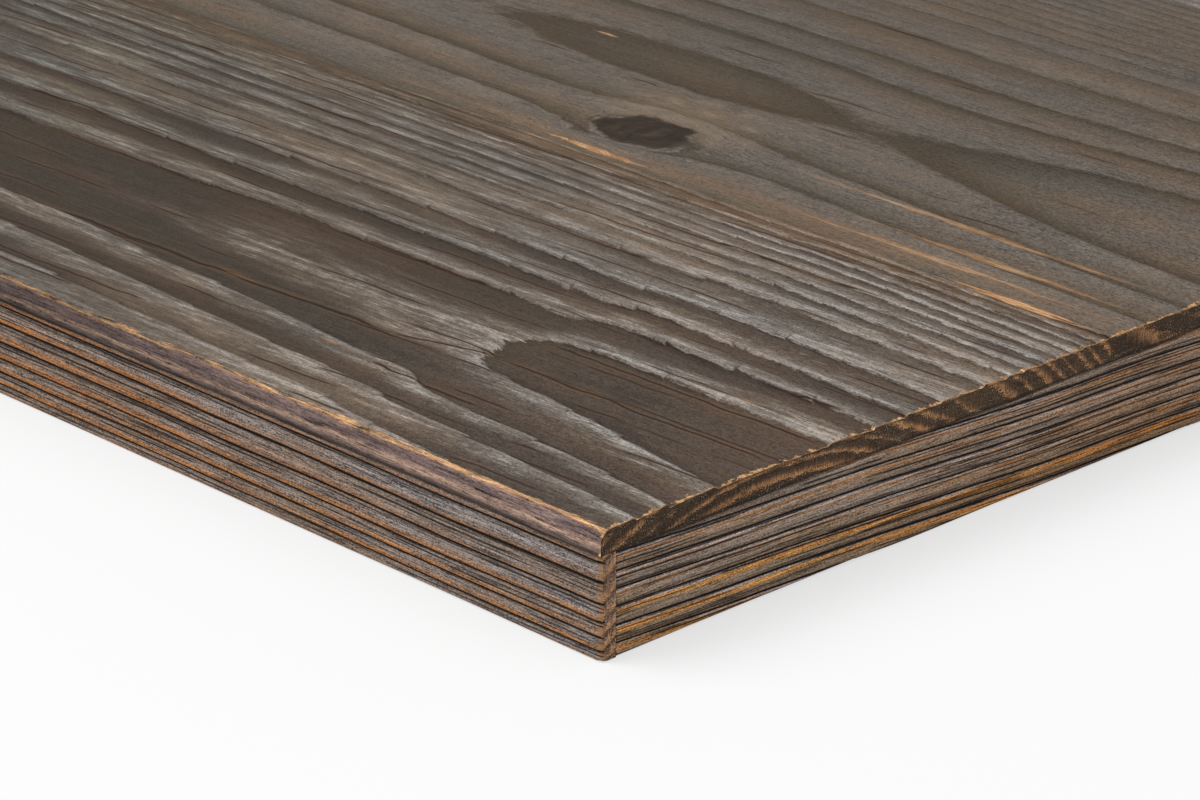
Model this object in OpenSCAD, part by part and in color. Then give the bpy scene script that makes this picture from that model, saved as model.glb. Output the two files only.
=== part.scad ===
// Reclaimed wood panel: a deck of brushed old softwood boards, glued edge to edge over a plain
// core board, with the core's four edges lipped in thin strips cut from the same old wood.
// X runs along the deck's grain, Y across the boards, Z up. The origin is the middle of the
// underside. All sizes are in millimetres.

/* [Panel] */
// Length of the panel, along the grain of the deck boards
panel_l = 600; // [300:1:3000]
// Thickness of the core board, which is also the height of the edge strips
core_t = 16; // [12:0.5:30]

/* [Deck boards] */
// Thickness of the deck boards
deck_t = 4.2; // [3:0.1:10]
// Width of the first board, along the front edge
board_1_w = 105; // [70:1:180]
// Width of the second board
board_2_w = 131; // [70:1:180]
// Width of the third board, along the back edge
board_3_w = 64; // [50:1:180]
// Distance from the first board's front edge to its heart line
board_1_heart = 34.5; // [20:0.5:60]
// Distance from the second board's front edge to its heart line
board_2_heart = 40; // [20:0.5:60]
// Distance from the third board's front edge to its heart line
board_3_heart = 38; // [20:0.5:45]
// Radius worn on the deck's two outer long arrises
arris_r = 2; // [0.5:0.1:2.5]

/* [Edge strips] */
// Thickness of the strips that lip the core
strip_t = 2.9; // [2:0.1:6]
// Ease on the outer bottom corner of each strip
strip_ease = 0.4; // [0.1:0.1:1]
// Angle by which the end strips' grain runs downhill towards the back
run_off = 3; // [0:0.5:6]

/* [Growth rings] */
// Mean width of one growth ring in the deck boards, measured away from the heart
deck_ring = 2.3; // [1.5:0.1:4]
// Depth of the heart below a deck board's face
heart_d = 64; // [30:1:120]
// Mean width of one growth ring on the face of a strip
strip_ring = 2.8; // [2:0.1:5]
// Depth that brushing took out of the soft wood of the deck
deck_relief = 0.5; // [0.1:0.05:0.8]
// Depth of the grooves between the rings on a strip
strip_relief = 0.7; // [0.1:0.05:1]

/* [Hidden] */

$fn = 48;
board_w = [board_1_w, board_2_w, board_3_w];
board_heart = [board_1_heart, board_2_heart, board_3_heart];
last_board = len(board_w) - 1;
// Phase that gives each piece of wood its own run of wide and narrow rings
board_phase = [11, 47, 83];
strip_phase = 61;

// Distance from the front edge of the deck to the front edge of board i
function board_start(i) = i == 0 ? 0 : board_start(i - 1) + board_w[i - 1];

panel_w = board_start(last_board + 1);
core_l = panel_l - 2 * strip_t;
core_w = panel_w - 2 * strip_t;

deck_colour = "#5c534a";
strip_colour = "#6e6257";
core_colour = "#d9b98a";

// ---- growth rings ----

// Ring widths swing by this share of their mean
ring_swing = 0.32;
// Turn that spreads the wide and narrow rings without a visible repeat
golden_turn = 137.5;
// A hard ridge keeps this share of its ring, and the soft wood beside it is worn away
ridge_share = 0.3;
// Past the ridge the face drops at once, and climbs back over this share of the ring
drop_share = 0.12;

function uneven(n, phase) = n + ring_swing * sin(golden_turn * n + phase);

// Distance from a flat-sawn board's heart line to where ring n comes out of its face
function ring_reach(n, phase) =
    let (out = deck_ring * uneven(n - 0.5, phase)) sqrt(out * out + 2 * heart_d * out);

// Where the rings come out across a board of width w with its heart line at h, in order
function board_rings(w, h, phase, n_max) = [
    for (n = [n_max : -1 : 1]) let (y = h - ring_reach(n, phase)) if (y > arris_r) y,
    for (n = [1 : n_max]) let (y = h + ring_reach(n, phase)) if (y < w - arris_r) y
];

// Outline of a worn face: one hard ridge at each ring in the list, with a groove after it
function worn_face(rings, depth) = [
    for (k = [0 : len(rings) - 2])
        let (a = rings[k], s = rings[k + 1] - a)
        each [
            [a, 0],
            [a + ridge_share * s, 0],
            [a + (ridge_share + drop_share) * s, -depth],
            [a + (1 - drop_share) * s, -depth / 2]
        ],
    [rings[len(rings) - 1], 0]
];

// ---- deck ----

// Points of a worn outer arris of radius arris_r about the centre c, from angle a to angle b
arris_steps = 8;
function arris(c, a, b) = [
    for (k = [0 : arris_steps])
        let (t = a + (b - a) * k / arris_steps) c + arris_r * [cos(t), sin(t)]
];

// Cross-section of board i: flat glued faces, worn rings on top, and an arris on an outer side
module board_section(i) {
    w = board_w[i];
    h = board_heart[i];
    far = max(h, w - h);
    n_max = ceil((sqrt(heart_d * heart_d + far * far) - heart_d) / deck_ring) + 1;
    face = worn_face(board_rings(w, h, board_phase[i], n_max), deck_relief);
    polygon(concat(
        [[0, 0]],
        i == 0 ? arris([arris_r, deck_t - arris_r], 180, 90) : [[0, deck_t]],
        [for (p = face) p + [0, deck_t]],
        i == last_board ? arris([w - arris_r, deck_t - arris_r], 90, 0) : [[w, deck_t]],
        [[w, 0]]
    ));
}

module deck_board(i) {
    color(deck_colour)
        translate([0, board_start(i) - panel_w / 2, core_t])
            rotate([90, 0, 90])
                linear_extrude(height = panel_l, center = true)
                    board_section(i);
}

// ---- strips ----

// A strip of the given length along Y, its outer face at x = 0 and its inner face behind it.
// The grain falls by the angle fall over the length, so rings run out at the edges.
module strip(length, fall, phase) {
    drop = length / 2 * tan(abs(fall)) + strip_ring;
    n_low = -ceil(drop / strip_ring);
    n_high = ceil((core_t + drop) / strip_ring) + 1;
    rings = [for (n = [n_low : n_high]) strip_ring * uneven(n, phase)];
    face = [for (p = worn_face(rings, strip_relief)) [p[1], p[0]]];
    inner = -2 * strip_t;
    low = rings[0];
    high = rings[len(rings) - 1];
    intersection() {
        rotate([90, 0, 0])
            linear_extrude(height = length, center = true)
                polygon([[-strip_t, 0], [-strip_ease, 0], [0, strip_ease], [0, core_t],
                         [-strip_t, core_t]]);
        rotate([90 - fall, 0, 0])
            linear_extrude(height = 2 * length, center = true)
                polygon(concat([[inner, low]], face, [[inner, high]]));
    }
}

module edge_strip(side) {
    color(strip_colour)
        translate([0, side * panel_w / 2, 0])
            rotate([0, 0, side * 90])
                strip(panel_l, 0, strip_phase * side);
}

module end_strip(side) {
    color(strip_colour)
        translate([side * panel_l / 2, 0, 0])
            rotate([0, 0, side > 0 ? 0 : 180])
                strip(core_w, side * run_off, 2 * strip_phase * side);
}

// ---- core ----

module core_board() {
    color(core_colour)
        translate([-core_l / 2, -core_w / 2, 0])
            cube([core_l, core_w, core_t]);
}

deck_board(0);  // deck_board_1
deck_board(1);  // deck_board_2
deck_board(2);  // deck_board_3
edge_strip(-1);  // edge_strip_front
edge_strip(1);  // edge_strip_back
end_strip(-1);  // end_strip_left
end_strip(1);  // end_strip_right
core_board();
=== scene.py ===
"""Looks of a reclaimed wood panel: a deck of brushed old boards on a lipped core board.

Every old board is grown from one rule. A Geometry Nodes tree works out, for each point of a board,
how many growth rings lie between it and the heart of the tree, wears the face down ring by ring,
and keeps that count on the mesh. The finishes read the same count, so each ring's colour sits on
its own ridge, and runs over the arris on to the end grain.

Wood coordinates are in millimetres: u along the grain, v across the board, w down into it.
"""
from __future__ import annotations

import logging
import math
from dataclasses import dataclass, fields, replace
from enum import Enum
from types import SimpleNamespace

import bpy
import numpy as np
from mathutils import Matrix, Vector


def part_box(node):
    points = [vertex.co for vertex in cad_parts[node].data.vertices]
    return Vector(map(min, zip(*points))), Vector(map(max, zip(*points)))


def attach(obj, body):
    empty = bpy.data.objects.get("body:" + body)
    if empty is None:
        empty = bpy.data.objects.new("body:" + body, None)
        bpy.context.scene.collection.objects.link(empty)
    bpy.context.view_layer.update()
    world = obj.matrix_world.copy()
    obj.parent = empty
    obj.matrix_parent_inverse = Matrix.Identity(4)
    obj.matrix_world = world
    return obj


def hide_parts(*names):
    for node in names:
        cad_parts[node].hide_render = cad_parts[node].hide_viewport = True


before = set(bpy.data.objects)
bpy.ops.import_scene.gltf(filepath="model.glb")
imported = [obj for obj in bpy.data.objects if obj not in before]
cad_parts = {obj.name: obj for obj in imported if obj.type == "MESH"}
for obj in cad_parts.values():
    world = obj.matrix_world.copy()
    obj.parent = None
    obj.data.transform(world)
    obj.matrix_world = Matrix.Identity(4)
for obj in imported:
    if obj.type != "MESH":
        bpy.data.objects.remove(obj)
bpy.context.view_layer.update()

LOG = logging.getLogger("wood_panel")
MM = 0.001

MATH = "ShaderNodeMath"
VECTOR = "ShaderNodeVectorMath"
SPLIT = "ShaderNodeSeparateXYZ"
JOIN = "ShaderNodeCombineXYZ"
NOISE = "ShaderNodeTexNoise"
HASH = "ShaderNodeTexWhiteNoise"
RANGE = "ShaderNodeMapRange"
CURVE = "ShaderNodeFloatCurve"
RAMP = "ShaderNodeValToRGB"
BLEND = "ShaderNodeMix"
# Settings of a Mix node that blends colours, and the inputs that it skips before them
TINT = {"data_type": "RGBA", "out": 2}
SKIP = (None,) * 5
SMOOTH = {"interpolation_type": "SMOOTHSTEP"}
# Step that spreads wide and narrow bands over the rings without a visible repeat
GOLDEN = 0.618
# What a noise seldom leaves, which the finishes spread over 0 to 1
NOISE_SPAN = (0.33, 0.67)
# How far apart seeds that differ by 1 read a noise, along the grain and down
SEED_STEP = (7.31, 3.17)

# Two limits; two limits and what a value becomes at each; a ramp's places and sRGB hex colours
Span = tuple[float, float]
Change = tuple[float, float, float, float]
Tones = tuple[tuple[float, str], ...]


def linear(hex_colour: str) -> tuple[float, float, float, float]:
    """Turns an sRGB hex colour into the linear colour that Blender's sockets take.

    Args:
        hex_colour: Six hex digits after a hash.

    Returns:
        Red, green, blue and an alpha of one.
    """
    parts = [int(hex_colour[k:k + 2], 16) / 255 for k in (1, 3, 5)]
    low = [p / 12.92 if p <= 0.04045 else ((p + 0.055) / 1.055) ** 2.4 for p in parts]
    return low[0], low[1], low[2], 1.0


class Wire:
    """One output of a node, which can be added, subtracted, multiplied and divided."""

    def __init__(self, graph: Graph, socket: bpy.types.NodeSocket) -> None:
        """Keeps the graph, so that arithmetic adds its nodes there."""
        self.graph = graph
        self.socket = socket

    def other(self, name: str) -> Wire:
        """Another output of the same node, by its name."""
        return Wire(self.graph, self.socket.node.outputs[name])

    def __add__(self, value: Wire | float) -> Wire:
        """Sum with a wire or a number."""
        return self.graph.add(MATH, self, value, operation="ADD")

    def __sub__(self, value: Wire | float) -> Wire:
        """Difference from a wire or a number."""
        return self.graph.add(MATH, self, value, operation="SUBTRACT")

    def __mul__(self, value: Wire | float) -> Wire:
        """Product with a wire or a number."""
        return self.graph.add(MATH, self, value, operation="MULTIPLY")

    def __truediv__(self, value: Wire | float) -> Wire:
        """Quotient by a wire or a number."""
        return self.graph.add(MATH, self, value, operation="DIVIDE")

    def __rsub__(self, value: float) -> Wire:
        """A number less this wire."""
        return self.graph.add(MATH, value, self, operation="SUBTRACT")

    __radd__ = __add__
    __rmul__ = __mul__


class Graph:
    """A node tree being built, whether it shapes a mesh or paints one."""

    def __init__(self, tree: bpy.types.NodeTree) -> None:
        """Starts on an empty tree."""
        self.tree = tree
        self.inputs: dict[str, object] = {}
        tree.nodes.clear()

    def add(self, kind: str, *values: object, links: dict[str, object] | None = None,
            out: int | str = 0, stops: Tones = (), points: tuple[Span, ...] = (),
            **settings: object) -> Wire | None:
        """Adds one node with its settings and links.

        Args:
            kind: Blender's name for the type of node.
            *values: Wires, sRGB hex colours or plain values for the first inputs, in order; None
                leaves one alone.
            links: The same for other inputs, by identifier.
            out: The output to hand back.
            stops: For a colour ramp, its positions and sRGB hex colours.
            points: For a curve, its points.
            **settings: Properties of the node.

        Returns:
            The chosen output, or None from a node that has none.
        """
        node = self.tree.nodes.new(kind)
        for name, value in settings.items():
            setattr(node, name, value)
        named = {socket.identifier: socket for socket in node.inputs}
        pairs = list(zip(node.inputs, values))
        pairs += [(named[key], value) for key, value in (links or {}).items()]
        for socket, value in pairs:
            if isinstance(value, Wire):
                self.tree.links.new(value.socket, socket)
            elif isinstance(value, str) and value.startswith("#"):
                socket.default_value = linear(value)
            elif value is not None:
                socket.default_value = value
        for k, (position, colour) in enumerate(stops):
            ramp = node.color_ramp.elements
            element = ramp[k] if k < len(ramp) else ramp.new(position)
            element.position = position
            element.color = linear(colour)
        for k, point in enumerate(points):
            curve = node.mapping.curves[0].points
            if k < 2:
                curve[k].location = point
            else:
                curve.new(*point)
        return Wire(self, node.outputs[out]) if node.outputs else None

    def size(self, name: str, value: object, kind: str = "NodeSocketFloat") -> Wire:
        """Makes a named input of the tree, to be set on the modifier that uses it.

        Args:
            name: The input's name.
            value: The value that the modifier sets.
            kind: Blender's name for the type of socket.

        Returns:
            The input, as seen inside the tree.
        """
        socket = self.tree.interface.new_socket(name, in_out="INPUT", socket_type=kind)
        self.inputs[socket.identifier] = value
        return self.add("NodeGroupInput", out=name)

    def sizes(self, spec: object, label: str = "") -> SimpleNamespace | object:
        """Makes a named input for each number in a dataclass.

        Args:
            spec: The dataclass.
            label: A word that goes before each name.

        Returns:
            The inputs, under the fields' names, or the dataclass itself in a material's tree.
        """
        if self.tree.bl_idname == "ShaderNodeTree":
            return spec
        numbers = [f.name for f in fields(spec) if isinstance(getattr(spec, f.name), float)]
        wires = {n: self.size(f"{label} {n}".strip().replace("_", " "), getattr(spec, n))
                 for n in numbers}
        return SimpleNamespace(**wires)


# ---- how the wood grew ----


@dataclass(frozen=True)
class Grown:
    """What the rings give at each point: count is how many lie between it and the heart, arch is
    1 where they cross the grain under a cathedral's nose and 0 where they run along it, and knot
    holds the fibres' side step in mm, 1 inside a knot, and the distance from its middle."""

    count: Wire
    arch: Wire
    knot: Wire


@dataclass(frozen=True)
class Rise:
    """A place where the log's rings climb towards the face by a height over a reach, in mm."""

    at: float
    height: float
    reach: float


@dataclass(frozen=True)
class Knot:
    """A branch that comes out of the face at (u, v), with its radius, in mm.

    It is stretched along the grain, and lumps, so many to a mm, make its radius uneven by lumpy,
    from least up. The fibres round it step aside by pull of the way, and fading says how fast that
    ends. Its own rings are crowding times as close as the board's, and it ends between the two
    numbers of edge, in radii.
    """

    u: float
    v: float
    radius: float
    stretch: float = 1.45
    lumps: float = 0.22
    lumpy: float = 0.9
    least: float = 0.55
    pull: float = 0.95
    fading: float = -0.3
    crowding: float = 1.6
    edge: Span = (1.25, 0.75)


class Face(Enum):
    """The side of the tree that a flat-sawn board shows, and the sign that depth takes in it."""

    BARK_SIDE = 1.0
    HEART_SIDE = -1.0


@dataclass(frozen=True)
class FlatSawn:
    """Growth rings of a board sawn tangentially, which make arches on its face. Lengths in mm.

    The tree's heart runs depth below the face, or above it, and climbs by taper and by rises, and
    sways. Its line starts heart from the board's front edge and veers sideways. The rings are
    ring wide, and wider round wide_at from the face's first ring, and they wander in waves of
    wander_size along the grain and across it.
    """

    heart: float
    depth: float
    taper: float
    face: Face
    rises: tuple[Rise, ...] = ()
    knots: tuple[Knot, ...] = ()
    veer: float = 1.5
    veer_reach: float = 40.0
    arch_width: float = 9.0
    sway: float = 0.4
    sway_length: float = 80.0
    wander: float = 0.45
    wander_size: Span = (55.0, 11.0)
    ring: float = 2.09
    first: float = -0.77
    wide_at: float = 11.1
    wide_reach: float = 4.55
    wide_drop: float = 1.33
    seed: float = 0.0

    def rings(self, graph: Graph, wood: Wire) -> Grown:
        """Counts the rings from the heart out to each point.

        Args:
            graph: The tree that the nodes are added to.
            wood: Wood coordinates.

        Returns:
            The rings and knots there.
        """
        size = graph.sizes(self)
        u = graph.add(SPLIT, wood)
        v, w = u.other("Y"), u.other("Z")
        sway = graph.add(NOISE, noise_dimensions="1D",
                         links={"W": u / size.sway_length + size.seed, "Scale": 1.0,
                                "Detail": 1.0})
        depth = u * size.taper + size.depth + (sway - 0.5) * size.sway
        for number, rise in enumerate(self.rises, 1):
            step = graph.sizes(rise, f"rise {number}")
            climb = graph.add(MATH, (u - step.at) / step.reach, operation="TANH")
            depth = depth + (climb + 1.0) * 0.5 * step.height
        near = graph.add(MATH, math.e, u / size.veer_reach * -1.0, operation="POWER")
        across = v - size.heart - (1.0 - near) * size.veer
        down = depth - w * self.face.value
        radius = graph.add(MATH, across * across + down * down, operation="SQRT")
        long, wide = self.wander_size
        place = graph.add(VECTOR, wood, (1 / long, 1 / wide, 1 / wide), operation="MULTIPLY")
        wave = graph.add(NOISE, place, noise_dimensions="4D",
                         links={"W": size.seed, "Scale": 1.0, "Detail": 2.0})
        grown = radius - size.depth + (wave - 0.5) * size.wander * 2.0
        knotty = graph.add(JOIN, 0.0, 0.0, 0.0)
        for number, knot in enumerate(self.knots, 1):
            spot = graph.sizes(knot, f"knot {number}")
            du, dv = (u - spot.u) / spot.stretch, v - spot.v
            lump = graph.add(NOISE, wood, links={"Scale": spot.lumps, "Detail": 2.0})
            away = graph.add(MATH, du * du + dv * dv, operation="SQRT")
            away = away * (lump * spot.lumpy + spot.least)
            spread = away / spot.radius
            pull = graph.add(MATH, math.e, spread * spread * spot.fading, operation="POWER")
            step = pull * dv * spot.pull
            grown = grown - step * across / radius
            inside = graph.add(RANGE, spread, *knot.edge)
            grown = graph.add(BLEND, inside, data_type="FLOAT",
                              links={"A_Float": grown, "B_Float": away * spot.crowding})
            knotty = graph.add(VECTOR, knotty, graph.add(JOIN, step, inside, away * inside),
                               operation="ADD")
        bulge = graph.add(MATH, (grown - size.wide_at) / size.wide_reach, operation="TANH")
        count = grown / size.ring + size.first - bulge * size.wide_drop
        beside = across / size.arch_width
        arch = graph.add(MATH, math.e, beside * beside * -1.0, operation="POWER")
        return Grown(count, arch, knotty)


@dataclass(frozen=True)
class QuarterSawn:
    """Growth rings of a strip sawn radially, which run along its face as lines. Lengths in mm.

    The rings are ring wide and come first mm below the strip's top edge. The grain runs down by
    fall for each millimetre along the strip, and by lean for each millimetre into it. It bends
    and wanders, in waves of wander_size along the strip and down it, and the rings swing between
    wide and narrow.
    """

    ring: float
    first: float
    fall: float
    lean: float
    bend: float = 0.8
    bend_length: float = 70.0
    wander: float = 0.25
    wander_size: Span = (45.0, 5.0)
    swing: float = 0.18
    swing_length: float = 2.03
    swing_start: float = -2.16
    seed: float = 0.0

    def rings(self, graph: Graph, wood: Wire) -> Grown:
        """Counts the rings down from the strip's top edge.

        Args:
            graph: The tree that the nodes are added to.
            wood: Wood coordinates.

        Returns:
            The rings there, with no arch and no knot.
        """
        size = graph.sizes(self)
        u = graph.add(SPLIT, wood)
        v, w = u.other("Y"), u.other("Z")
        bend = graph.add(NOISE, noise_dimensions="1D",
                         links={"W": u / size.bend_length + size.seed, "Scale": 1.0,
                                "Detail": 1.0})
        long, wide = self.wander_size
        place = graph.add(VECTOR, wood, (1 / long, 1 / wide, 1 / wide), operation="MULTIPLY")
        wave = graph.add(NOISE, place, noise_dimensions="4D",
                         links={"W": size.seed, "Scale": 1.0, "Detail": 1.0})
        grown = v - u * size.fall + w * size.lean
        grown = grown + (bend - 0.5) * size.bend * 2.0 + (wave - 0.5) * size.wander * 2.0
        swing = graph.add(MATH, grown / size.swing_length + size.swing_start, operation="SINE")
        count = (grown - size.first) / size.ring - swing * size.swing
        return Grown(count, u * 0.0, graph.add(JOIN, 0.0, 0.0, 0.0))


# ---- how it weathered ----


@dataclass(frozen=True)
class Tearing:
    """How each ring's edge broke into scales, and frayed between its fibres.

    A scale is about length mm long, give or take uneven of that, which comes and goes over
    uneven_length, and apart says how far on the next ring reads that noise. A scale starts overlap
    of a ring nearer the heart than it ends, and its end is cut at a slant of skew scale lengths
    for each ring, on a share called split of the scales. The next ring's scales start stagger of a
    length on. Fibres fray by a share of a ring where the rings run along the grain, and by
    nose_fray where they cross it, in fibres of fibre_size mm. The tearing fades away from the
    edge between the two numbers of loose, in rings.
    """

    length: float = 16.0
    uneven: float = 0.9
    uneven_length: float = 24.0
    apart: float = 13.7
    overlap: float = 0.055
    skew: float = 0.2
    split: float = 0.6
    stagger: float = 0.37
    fray: float = 0.015
    nose_fray: float = 0.13
    fibre_size: Span = (8.0, 0.7)
    loose: Span = (0.45, 0.2)
    # Where in a scale the cut at its end opens, and where in the ring it closes again
    slit: Span = (0.465, 0.495)
    slit_part: Span = (0.28, 0.1)
    # Where in the ring a scale's own light stops
    own_part: Span = (0.55, 0.25)

    def phase(self, graph: Graph, count: Wire, arch: Wire,
              wood: Wire) -> tuple[Wire, Wire, Wire]:
        """Finds where in its ring each point lies once scales and fibres have broken off.

        Args:
            graph: The tree that the nodes are added to.
            count: Smooth ring count.
            arch: 1 under the nose of a cathedral and 0 away from it.
            wood: Wood coordinates.

        Returns:
            0 just outside a broken edge, rising to 1 at the next; 1 in the cut between two
            scales, 0 elsewhere; and a number from -0.5 to 0.5 for each scale, 0 between scales.
        """
        size = graph.sizes(self)
        u = graph.add(SPLIT, wood)
        v = u.other("Y")
        nearest = graph.add(MATH, count, operation="ROUND")
        off = count - nearest
        stretch = graph.add(NOISE, noise_dimensions="1D",
                            links={"W": u / size.uneven_length + nearest * size.apart,
                                   "Scale": 1.0, "Detail": 1.0})
        along = u / size.length + stretch * size.uneven + nearest * size.stagger
        along = along - off * size.skew
        scale = graph.add(MATH, along, operation="FLOOR")
        part = along - scale
        chance = graph.add(HASH, graph.add(JOIN, scale, nearest, 0.0), noise_dimensions="2D")
        straight = 1.0 - arch
        step = (0.5 - part) * (chance * chance * 2.0 + 0.1) * straight * size.overlap
        place = graph.add(JOIN, u / self.fibre_size[0], v / self.fibre_size[1], 0.0)
        ragged = graph.add(NOISE, place, noise_dimensions="2D",
                           links={"Scale": 1.0, "Detail": 3.0, "Roughness": 0.65})
        ravel = arch * (size.nose_fray - size.fray) + size.fray
        distance = graph.add(MATH, off, operation="ABSOLUTE")
        loose = graph.add(RANGE, distance, *self.loose, **SMOOTH)
        shift = (step + (ragged - 0.5) * ravel * 2.0) * loose
        phase = graph.add(MATH, count + shift, operation="FRACT")
        end = graph.add(MATH, part - 0.5, operation="ABSOLUTE")
        slit = graph.add(RANGE, end, *self.slit) * straight
        short = graph.add(RANGE, phase, *self.slit_part)
        chosen = graph.add(RANGE, chance - 1.0 + size.split, 0.0, 0.3)
        near = graph.add(RANGE, phase, *self.own_part) * straight
        return phase, slit * short * chosen, (chance - 0.5) * near


@dataclass(frozen=True)
class Weathering:
    """How a face wore: relief is its depth in mm, and profile the height left across one ring.

    Each ring has its own share of the relief, from least to spread more. The relief fades to
    fade of itself between the ring counts fade_from and fade_to, and again to calm of itself over
    the calm_from to calm_to mm along the grain. The cut between two scales is cut_depth mm deep,
    and scales differ by a share called scale_step of the relief. The end arris is worn down by as
    much as worn mm within a reach of it, in chips, so many to a mm.
    """

    profile: tuple[Span, ...]
    tearing: Tearing
    relief: float = 0.5
    least: float = 0.7
    spread: float = 0.5
    fade: float = 0.5
    fade_from: float = 3.0
    fade_to: float = 9.0
    calm: float = 0.55
    calm_from: float = 70.0
    calm_to: float = 220.0
    cut_depth: float = 0.1
    scale_step: float = 0.1
    worn: float = 0.3
    worn_reach: float = 0.9
    chips: float = 0.7

    def tree(self, growth: FlatSawn | QuarterSawn, face: bpy.types.Material,
             end: bpy.types.Material) -> Graph:
        """Builds the Geometry Nodes tree that grows a blank's rings and wears them down.

        Args:
            growth: How the wood grew.
            face: Finish of the faces along the grain.
            end: Finish of the end grain.

        Returns:
            The graph, with the values for its inputs.
        """
        group = bpy.data.node_groups.new("weathering", "GeometryNodeTree")
        graph = Graph(group)
        group.interface.new_socket("Geometry", in_out="OUTPUT", socket_type="NodeSocketGeometry")
        blank = graph.size("Blank", None, "NodeSocketGeometry")
        face_finish = graph.size("Face finish", face, "NodeSocketMaterial")
        end_finish = graph.size("End finish", end, "NodeSocketMaterial")
        size = graph.sizes(self)
        read = "GeometryNodeInputNamedAttribute"
        wood = graph.add(read, "wood", data_type="FLOAT_VECTOR")
        outward = graph.add(read, "outward", data_type="FLOAT_VECTOR")
        from_end = graph.add(read, "from_end", data_type="FLOAT")
        grown = growth.rings(graph, wood)
        store = "GeometryNodeStoreNamedAttribute"
        noted = graph.add(store, blank, None, "ring", grown.count, data_type="FLOAT")
        noted = graph.add(store, noted, None, "arch", grown.arch, data_type="FLOAT")
        noted = graph.add(store, noted, None, "knot", grown.knot, data_type="FLOAT_VECTOR")
        phase, cut, scale = self.tearing.phase(graph, grown.count, grown.arch, wood)
        height = graph.add(CURVE, 1.0, phase, points=self.profile)
        fade = graph.add(RANGE, grown.count, size.fade_from, size.fade_to, 1.0, size.fade,
                         **SMOOTH)
        along = graph.add(SPLIT, wood)
        fade = fade * graph.add(RANGE, along, size.calm_from, size.calm_to, 1.0, size.calm)
        chance = graph.add(HASH, noise_dimensions="1D",
                           links={"W": graph.add(MATH, grown.count, operation="ROUND")})
        sunk = (1.0 - height) * size.relief * fade * (chance * size.spread + size.least)
        sunk = sunk + cut * size.cut_depth + (0.5 - scale) * size.relief * size.scale_step
        near_end = graph.add(RANGE, from_end, size.worn_reach, 0.0, **SMOOTH)
        chips = graph.add(NOISE, wood, links={"Scale": size.chips, "Detail": 2.0})
        sunk = sunk + near_end * chips * size.worn
        move = graph.add(VECTOR, outward, operation="SCALE", links={"Scale": sunk * -MM})
        worn = graph.add("GeometryNodeSetPosition", noted, links={"Offset": move})
        real = graph.add("GeometryNodeRealizeInstances", worn)
        dressed = graph.add("GeometryNodeSetMaterial", real, None, face_finish)
        is_end = graph.add(read, "end_grain", data_type="BOOLEAN")
        dressed = graph.add("GeometryNodeSetMaterial", dressed, is_end, end_finish)
        graph.add("NodeGroupOutput", dressed)
        return graph


@dataclass(frozen=True)
class Direction:
    """The wood's own axes as seen in the panel: along the grain, across it, and out of its face."""

    along: tuple[int, int, int]
    across: tuple[int, int, int]
    out: tuple[int, int, int]


# Numbers of the patches that a blank's faces belong to: 3 is its inner face, 4 and 5 its ends
FACE_PATCH, FRONT_PATCH, BACK_PATCH, END_PATCH = 0, 1, 2, 4


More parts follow.
